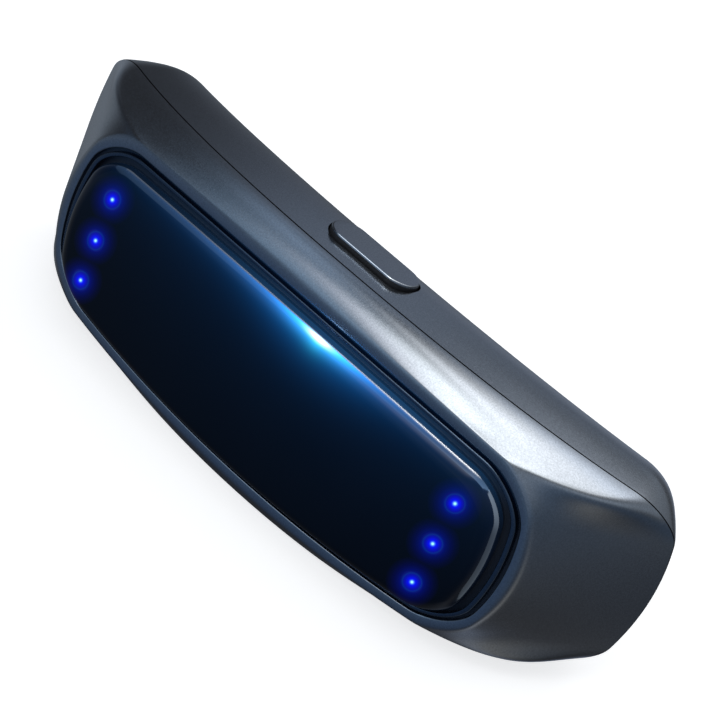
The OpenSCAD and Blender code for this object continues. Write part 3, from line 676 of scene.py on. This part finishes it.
def lens_material():
    """smoked panel: black-navy body under a polished coat, light spill round the
    windows, a painted blue sheen under the upper edge and a painted glint at one spot on it"""
    m = Nodes("lens_smoked_painted_glint")
    sep = m.add("ShaderNodeSeparateXYZ")
    m.put(sep.inputs[0], m.co)
    x = m.math("MULTIPLY", sep.outputs[0], 1000.0)
    y = m.math("MULTIPLY", sep.outputs[1], 1000.0)
    z = m.math("SUBTRACT", m.math("MULTIPLY", sep.outputs[2], 1000.0), BASE)
    # distance below the panel's upper edge, whose long side bows
    top = m.math("SUBTRACT", 20.2, m.math("MULTIPLY", m.math("MULTIPLY", x, x), 3.1 / 58.8 ** 2))
    below = m.math("SUBTRACT", top, z)
    cloud = m.noise(60.0, 2.0)
    body = m.blend(m.range(cloud, 0.3, 0.7, 0, 1), (0.0006, 0.0010, 0.0020), (0.0010, 0.0015, 0.0028))
    # the painted sheen and glint die out on the panel's upright edge
    lit = m.range(m.math("SUBTRACT", m.math("ADD", y, 25.5), m.math("MULTIPLY", m.math("MULTIPLY", x, x), 1 / 800.0)),
                  2.15, 2.65, 1.0, 0.0, smooth=True)
    # painted blue sheen under the upper edge, strongest near the painted glint
    depth = m.math("MAXIMUM", below, 0.0)
    near = m.math("MULTIPLY_ADD", bell(m, x, 8.5, 9.0), 3.3, m.math("MULTIPLY_ADD", bell(m, x, 8.0, 24.0), 0.85, 0.06))
    mid = m.math("MULTIPLY_ADD", bell(m, x, 8.5, 14.0), 0.40, m.math("MULTIPLY", bell(m, x, 5.0, 40.0), 0.08))
    wide = m.math("MULTIPLY", bell(m, x, 5.0, 60.0), 0.031)
    painted_sheen_amount = m.math("ADD", m.math("MULTIPLY", falloff(m, depth, 0.6), near),
                    m.math("ADD", m.math("MULTIPLY", falloff(m, depth, 3.0), mid), m.math("MULTIPLY", falloff(m, depth, 15.0), wide)))
    # painted glint: a glowing hot spot and white core at one place on the upper edge
    star = m.math("MULTIPLY", m.vec("DISTANCE", m.co, tuple(float(v) for v in place([8.3, 1.55, 19.85])), out=1), 1000.0)
    painted_blue_sheen = m.vec("SCALE", (0.014, 0.275, 1.0))
    m.put(painted_blue_sheen.node.inputs["Scale"], painted_sheen_amount)
    painted_glint_glow = m.vec("SCALE", (0.05, 1.0, 1.1))
    m.put(painted_glint_glow.node.inputs["Scale"], m.math("ADD", m.math("MULTIPLY", falloff(m, star, 1.1), 0.6),
                                          m.math("MULTIPLY", m.math("MULTIPLY", bell(m, x, 8.3, 7.0), falloff(m, depth, 0.9)), 0.55)))
    core = m.vec("SCALE", (1.0, 1.0, 1.0))
    m.put(core.node.inputs["Scale"], m.math("MULTIPLY", m.math("MULTIPLY", bell(m, x, 8.1, 2.6), bell(m, below, 0.25, 0.45)), 2.2))
    both = m.vec("ADD", m.vec("ADD", painted_blue_sheen, painted_glint_glow), core)
    faded_painted_sheen = m.vec("SCALE", both)
    m.put(faded_painted_sheen.node.inputs["Scale"], lit)
    # painted blue glow on the panel's upright edge
    side = m.vec("SCALE", (0.06, 0.36, 0.95))
    m.put(side.node.inputs["Scale"], m.math("MULTIPLY", m.math("MULTIPLY", m.math("SUBTRACT", 1.0, lit), falloff(m, depth, 3.0)),
                                           m.math("MULTIPLY_ADD", bell(m, x, 18.0, 34.0), 0.13, 0.012)))
    total = m.vec("ADD", m.vec("ADD", faded_painted_sheen, side), light_glow(m))
    m.set(Base_Color=body, Roughness=m.range(cloud, 0.3, 0.7, 0.085, 0.105), Emission_Color=total, Emission_Strength=1.0)
    m.bsdf.inputs["Specular IOR Level"].default_value = 0.25
    return m.mat


def window_material():
    """small domed window over a light"""
    m = Nodes("light_guide_lit")
    m.set(Base_Color=(0.002, 0.004, 0.012), Roughness=m.range(m.noise(300.0), 0.3, 0.7, 0.05, 0.09),
          Emission_Color=light_glow(m), Emission_Strength=1.0)
    m.bsdf.inputs["Specular IOR Level"].default_value = 0.5
    return m.mat


def brushed(name, color, rough, scale=(40, 3000, 3000), bump=0.08):
    """polished plating with faint lines"""
    m = Nodes(name)
    st = m.add("ShaderNodeMapping")
    m.put(st.inputs["Vector"], m.co)
    st.inputs["Scale"].default_value = scale
    lines = m.noise(1.0, 3.0, 0.6, co=st.outputs[0])
    cloud = m.noise(70.0, 3.0)
    dark = tuple(c * 0.9 for c in color)
    m.set(Base_Color=m.blend(m.range(cloud, 0.3, 0.7, 0, 1), dark, color), Metallic=1.0,
          Roughness=m.range(lines, 0.3, 0.7, max(rough - 0.03, 0.03), rough + 0.05),
          Normal=m.bump(lines, bump, 0.00001))
    return m.mat


def board_material():
    """solder mask with faint copper runs under it"""
    m = Nodes("circuit_board_mask")
    st = m.add("ShaderNodeMapping")
    m.put(st.inputs["Vector"], m.co)
    st.inputs["Scale"].default_value = (520.0, 520.0, 520.0)
    br = m.add("ShaderNodeTexBrick")
    m.put(br.inputs["Vector"], st.outputs[0])
    br.inputs["Color1"].default_value = (0.012, 0.13, 0.06, 1)
    br.inputs["Color2"].default_value = (0.015, 0.16, 0.075, 1)
    br.inputs["Mortar"].default_value = (0.03, 0.24, 0.12, 1)
    br.inputs["Mortar Size"].default_value = 0.03
    grain = m.noise(1500.0)
    m.set(Base_Color=br.outputs[0], Roughness=m.range(grain, 0.3, 0.7, 0.28, 0.4), Normal=m.bump(br.outputs[1], 0.2, 0.00003))
    return m.mat


def skin_cover_material():
    """satin light grey moulding, very fine even texture"""
    m = Nodes("skin_cover_satin_grey")
    fine, cloud = m.noise(2600.0, 2.0, 0.6), m.noise(45.0, 3.0)
    m.set(Base_Color=m.blend(m.range(cloud, 0.3, 0.7, 0, 1), (0.50, 0.52, 0.55), (0.56, 0.58, 0.61)),
          Roughness=m.range(fine, 0.3, 0.7, 0.36, 0.46), Normal=m.bump(fine, 0.18, 0.00003))
    m.bsdf.inputs["Coat Weight"].default_value = 0.15
    m.bsdf.inputs["Coat Roughness"].default_value = 0.3
    return m.mat


def assign(o, *mats):
    if len(o.data.materials) == len(mats) > 1:
        for i, mat in enumerate(mats):
            o.data.materials[i] = mat
    else:
        o.data.materials.clear()
        o.data.materials.append(mats[0])


def piece(o, body, slot, mat, *replaced):
    assign(o, *(mat if isinstance(mat, tuple) else (mat,)))
    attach(o, body)
    if replaced:
        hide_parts(*replaced)
    return o


# ------------------------------------------------------------------ build
casing = casing_material("graphite_casing_satin")
# black moulding for the inner faces, also used as painted shade on the seam walls and the button's side wall
dark_inside_and_gap_shade = plain("moulding_black_and_gap_shade", (0.014, 0.014, 0.016), 0.5, scale=1600)
piece(build_front(), "casing", "graphite_casing", (casing, channel_shade_and_glow_material(), dark_inside_and_gap_shade), "front_shell")
piece(build_rear(), "casing", "graphite_casing", (casing, dark_inside_and_gap_shade), "rear_housing")
piece(build_lens(), "casing", "lens_gloss", lens_material(), "front_lens")
piece(build_frame(), "casing", "bezel_dark", casing_material("bezel_dark_satin", (0.10, 0.14, 0.20), 0.26), "panel_bezel")
piece(build_windows(), "casing", "light_guide", window_material(), "light_guides")
piece(build_button(), "button", "button_cap", (casing_material("button_cap_satin", (0.40, 0.43, 0.47), 0.18), dark_inside_and_gap_shade), "power_button")
piece(build_cover(), "casing", "skin_cover_satin", skin_cover_material(), "skin_cover")
plate = brushed("electrode_polished", (0.80, 0.81, 0.83), 0.12)
piece(build_electrode(-1, "electrode_plate_left"), "casing", "electrode_plate", plate, "electrode_left")
piece(build_electrode(1, "electrode_plate_right"), "casing", "electrode_plate", plate, "electrode_right")

stock = {
    "silicone_seal": plain("silicone_black", (0.012, 0.012, 0.014), 0.6, var=0.2, bump=0.2),
    "foam_tape": plain("foam_black", (0.02, 0.02, 0.021), 0.9, var=0.3, scale=2400, bump=0.6, depth=0.0001),
    "circuit_board": board_material(),
    "led_chip": plain("chip_blue", (0.25, 0.5, 1.0), 0.25, Emission_Color=(0.1, 0.25, 1.0, 1.0), Emission_Strength=1.5),
    "dark_plastic": plain("moulded_black", (0.022, 0.022, 0.025), 0.42, scale=1600),
    "chip_black": plain("epoxy_black", (0.016, 0.016, 0.018), 0.38, scale=2500, bump=0.25),
    "ferrite_wound": plain("ferrite_amber", (0.34, 0.21, 0.07), 0.35, var=0.35, scale=1800, bump=0.3),
    "connector_nylon": plain("nylon_ivory", (0.74, 0.71, 0.62), 0.45, var=0.05, scale=1300),
    "bright_metal": brushed("nickel_bright", (0.60, 0.61, 0.63), 0.2),
    "cell_pouch": plain("pouch_silver", (0.60, 0.63, 0.66), 0.3, metal=1.0, var=0.08, scale=500, bump=0.4, depth=0.00008),
    "brass_plain": brushed("brass_turned", (0.70, 0.52, 0.22), 0.24),
    "lead_red": plain("insulation_red", (0.42, 0.03, 0.025), 0.4, var=0.1),
    "lead_blue": plain("insulation_blue", (0.04, 0.10, 0.36), 0.4, var=0.1),
    "lead_white": plain("insulation_white", (0.68, 0.68, 0.67), 0.4, var=0.05),
    "flex_amber": plain("film_amber", (0.52, 0.25, 0.04), 0.3, var=0.2, scale=1600),
}
slot_of = {s["node"]: s["material_slot"] for s in frame["record"]["subparts"]}
for name, o in nodes.items():
    if not o.hide_render:
        assign(o, stock[slot_of[name]])

# ------------------------------------------------------------------ stage
floor_mesh = bpy.data.meshes.new("floor")
floor_mesh.from_pydata([(-6, -6, 0), (6, -6, 0), (6, 6, 0), (-6, 6, 0)], [], [(0, 1, 2, 3)])
floor = bpy.data.objects.new("floor", floor_mesh)
bpy.context.scene.collection.objects.link(floor)
fm = Nodes("floor_pale")
fm.set(Base_Color=(0.6, 0.6, 0.605), Roughness=0.7, Emission_Color=(1.0, 1.0, 1.0, 1.0), Emission_Strength=0.75)
fm.bsdf.inputs["Specular IOR Level"].default_value = 0.1
assign(floor, fm.mat)
floor.visible_glossy = False
floor.visible_diffuse = False
floor.visible_shadow = False

# soft studio light: each entry is one soft box, as azimuth (from +Y towards +X),
# elevation, half width, half height, twist (degrees) and colour
SOFTBOXES = [
    (24, 90, 7.0, 8.5, 0, (1.33, 1.33, 1.33)),         # overhead
    (12, 69, 7.0, 17.8, -10, (2.22, 2.23, 2.24)),      # high behind
    (176, 61, 15.9, 7.0, -64, (3.20, 3.25, 3.20)),     # high in front
    (-101, 63, 26.8, 7.6, 7, (0.30, 0.40, 0.54)),      # high left, cool
    (-7, -26, 7.0, 60.0, 20, (0.19, 0.22, 0.28)),      # thin fill behind
    (94, 44, 60.0, 13.8, -4, (0.29, 0.33, 0.38)),      # right
    (-153, 21, 7.0, 23.2, -34, (0.23, 0.34, 0.46)),    # front left, cool
    (-81, -26, 27.5, 13.2, 0, (0.13, 0.15, 0.17)),     # low left
    (164, 3, 60.0, 22.4, 1, (0.054, 0.092, 0.148)),    # front, navy
    (3, 46, 7.5, 7.5, -64, (0.62, 0.69, 0.80)),        # behind
    (-56, -9, 10.8, 21.5, 35, (0.12, 0.14, 0.17)),     # left
    (-166, 41, 9.5, 7.0, 0, (0.58, 0.54, 0.56)),       # high in front, left
    (114, -48, 19.5, 10.0, -88, (0.19, 0.18, 0.16)),   # low right
    (-155, -36, 24.0, 20.0, 0, (0.02, 0.05, 0.11)),    # low in front, navy
]
AMBIENT = (0.026, 0.026, 0.028)


def axes(az, el, twist):
    a, e, t = (math.radians(v) for v in (az, el, twist))
    c = Vector((math.sin(a) * math.cos(e), math.cos(a) * math.cos(e), math.sin(e)))
    u = Vector((math.cos(a), -math.sin(a), 0.0))
    q = Vector((-math.sin(a) * math.sin(e), -math.cos(a) * math.sin(e), math.cos(e)))
    return c, u * math.cos(t) + q * math.sin(t), q * math.cos(t) - u * math.sin(t)


world = bpy.data.worlds.new("studio")
bpy.context.scene.world = world
world.use_nodes = True


class WorldNodes(Nodes):
    def __init__(self, tree):
        self.t = tree
        self.t.nodes.clear()
        self.co = self.vec("NORMALIZE", self.add("ShaderNodeTexCoord").outputs["Generated"])


wn = WorldNodes(world.node_tree)
total = tuple(AMBIENT)
for az, el, w, h, twist, colour in SOFTBOXES:
    c, u, q = axes(az, el, twist)
    a = wn.math("DIVIDE", wn.vec("DOT_PRODUCT", wn.co, tuple(u), out=1), math.sin(math.radians(w)))
    b = wn.math("DIVIDE", wn.vec("DOT_PRODUCT", wn.co, tuple(q), out=1), math.sin(math.radians(h)))
    k = wn.math("MULTIPLY", wn.math("ADD", wn.math("MULTIPLY", a, a), wn.math("MULTIPLY", b, b)), -0.5)
    k = wn.math("MULTIPLY", wn.math("EXPONENT", k), wn.math("GREATER_THAN", wn.vec("DOT_PRODUCT", wn.co, tuple(c), out=1), 0.0))
    lobe = wn.vec("SCALE", colour)
    wn.put(lobe.node.inputs["Scale"], k)
    total = wn.vec("ADD", lobe, total)
lit, pale = wn.add("ShaderNodeBackground"), wn.add("ShaderNodeBackground")
wn.put(lit.inputs["Color"], total)
pale.inputs["Color"].default_value = (0.96, 0.96, 0.97, 1.0)
mixed = wn.add("ShaderNodeMixShader")
wn.put(mixed.inputs[0], wn.add("ShaderNodeLightPath").outputs["Is Camera Ray"])
wn.put(mixed.inputs[1], lit.outputs[0])
wn.put(mixed.inputs[2], pale.outputs[0])
wn.put(wn.add("ShaderNodeOutputWorld").inputs[0], mixed.outputs[0])


def strip(name, direction, along, size, radiance, color, only, across, down):
    """a rectangular light one metre off in a direction, its width along a given axis. It
    lights some pieces only, and across and down say how bright it is over its two sides"""
    lamp = bpy.data.lights.new(name, "AREA")
    lamp.shape = "RECTANGLE"
    lamp.size, lamp.size_y = size
    lamp.energy = radiance * math.pi * size[0] * size[1]
    lamp.color = color
    o = bpy.data.objects.new(name, lamp)
    z = Vector(direction).normalized()
    x = Vector(along)
    x = (x - z * x.dot(z)).normalized()
    o.location = Vector((0.0, -0.015, 0.045)) + z
    o.rotation_euler = Matrix((x, z.cross(x), z)).transposed().to_euler()
    bpy.context.scene.collection.objects.link(o)
    lamp.use_nodes = True
    t = lamp.node_tree
    em = next(n for n in t.nodes if n.type == "EMISSION")
    geo, sep, both = (t.nodes.new("ShaderNode" + k) for k in ("NewGeometry", "SeparateXYZ", "Math"))
    both.operation = "MULTIPLY"
    t.links.new(geo.outputs["Parametric"], sep.inputs[0])
    for i, stops in enumerate((across, down)):
        ramp = t.nodes.new("ShaderNodeValToRGB")
        e = ramp.color_ramp.elements
        while len(e) < len(stops):
            e.new(0.5)
        for k, (p, v) in enumerate(stops):
            e[k].position = p
            e[k].color = (v, v, v, 1.0)
        t.links.new(sep.outputs[i], ramp.inputs[0])
        t.links.new(ramp.outputs[0], both.inputs[i])
    t.links.new(both.outputs[0], em.inputs["Strength"])
    c = bpy.data.collections.new(name + "_takes")
    for p in only:
        c.objects.link(p)
    o.light_linking.receiver_collection = c
    o.light_linking.blocker_collection = c
    return o


panel = [bpy.data.objects["panel_lens"]]
cap = [bpy.data.objects["button_cap"]]
strip("panel_edge_light", (-0.36, 0.27, 0.90), (0.92, 0.0, 0.39), (1.5, 0.9), 46.0, (1.0, 0.99, 0.97), panel,
      [(0.0, 0.02), (0.34, 0.04), (0.40, 0.10), (0.49, 0.14), (0.59, 0.36), (0.62, 0.55), (0.68, 0.9), (0.72, 1.0), (0.82, 0.6), (1.0, 0.1)],
      [(0.0, 0.0), (0.2, 0.05), (0.36, 0.4), (0.48, 1.0), (0.7, 1.0), (1.0, 0.3)])
strip("panel_top_light", (-0.35, 0.10, 0.93), (0.92, 0.0, 0.39), (3.0, 1.8), 3.0, (0.36, 0.62, 1.0), panel,
      [(0.0, 0.3), (0.35, 0.7), (0.6, 1.0), (0.75, 2.4), (1.0, 4.0)], [(0.0, 1.0), (1.0, 0.6)])
strip("panel_side_light", (0.84, 0.25, 0.0), (0.25, -0.84, 0.0), (1.3, 2.5), 12.0, (0.66, 0.82, 1.0), panel,
      [(0.0, 0.7), (1.0, 1.0)], [(0.0, 1.0), (0.35, 0.7), (0.65, 0.18), (1.0, 0.12)])
strip("button_edge_light", (-0.30, -0.35, 0.87), (0.92, 0.0, 0.39), (0.6, 0.55), 7.0, (0.95, 0.98, 1.0), cap,
      [(0.0, 0.25), (0.45, 0.4), (0.75, 1.0)], [(0.0, 0.3), (0.3, 1.0), (0.7, 1.0), (1.0, 0.3)])

cam_data = bpy.data.cameras.new("camera")
cam_data.lens = 119.25121
cam_data.sensor_width = 36.0
cam_data.sensor_fit = "HORIZONTAL"
cam_data.clip_start, cam_data.clip_end = 0.01, 50.0
cam = bpy.data.objects.new("camera", cam_data)
right = Vector((0.70470073, 0.60815216, 0.36544196))
up = Vector((-0.61623614, 0.26935768, 0.74006720))
back = Vector((0.35163886, -0.74672444, 0.56458190))
cam.matrix_world = Matrix(((right.x, up.x, back.x, 0.17801797), (right.y, up.y, back.y, -0.36338258),
                           (right.z, up.z, back.z, 0.30748345), (0, 0, 0, 1)))
bpy.context.scene.collection.objects.link(cam)
bpy.context.scene.camera = cam
bpy.context.scene.view_settings.view_transform = "Standard"
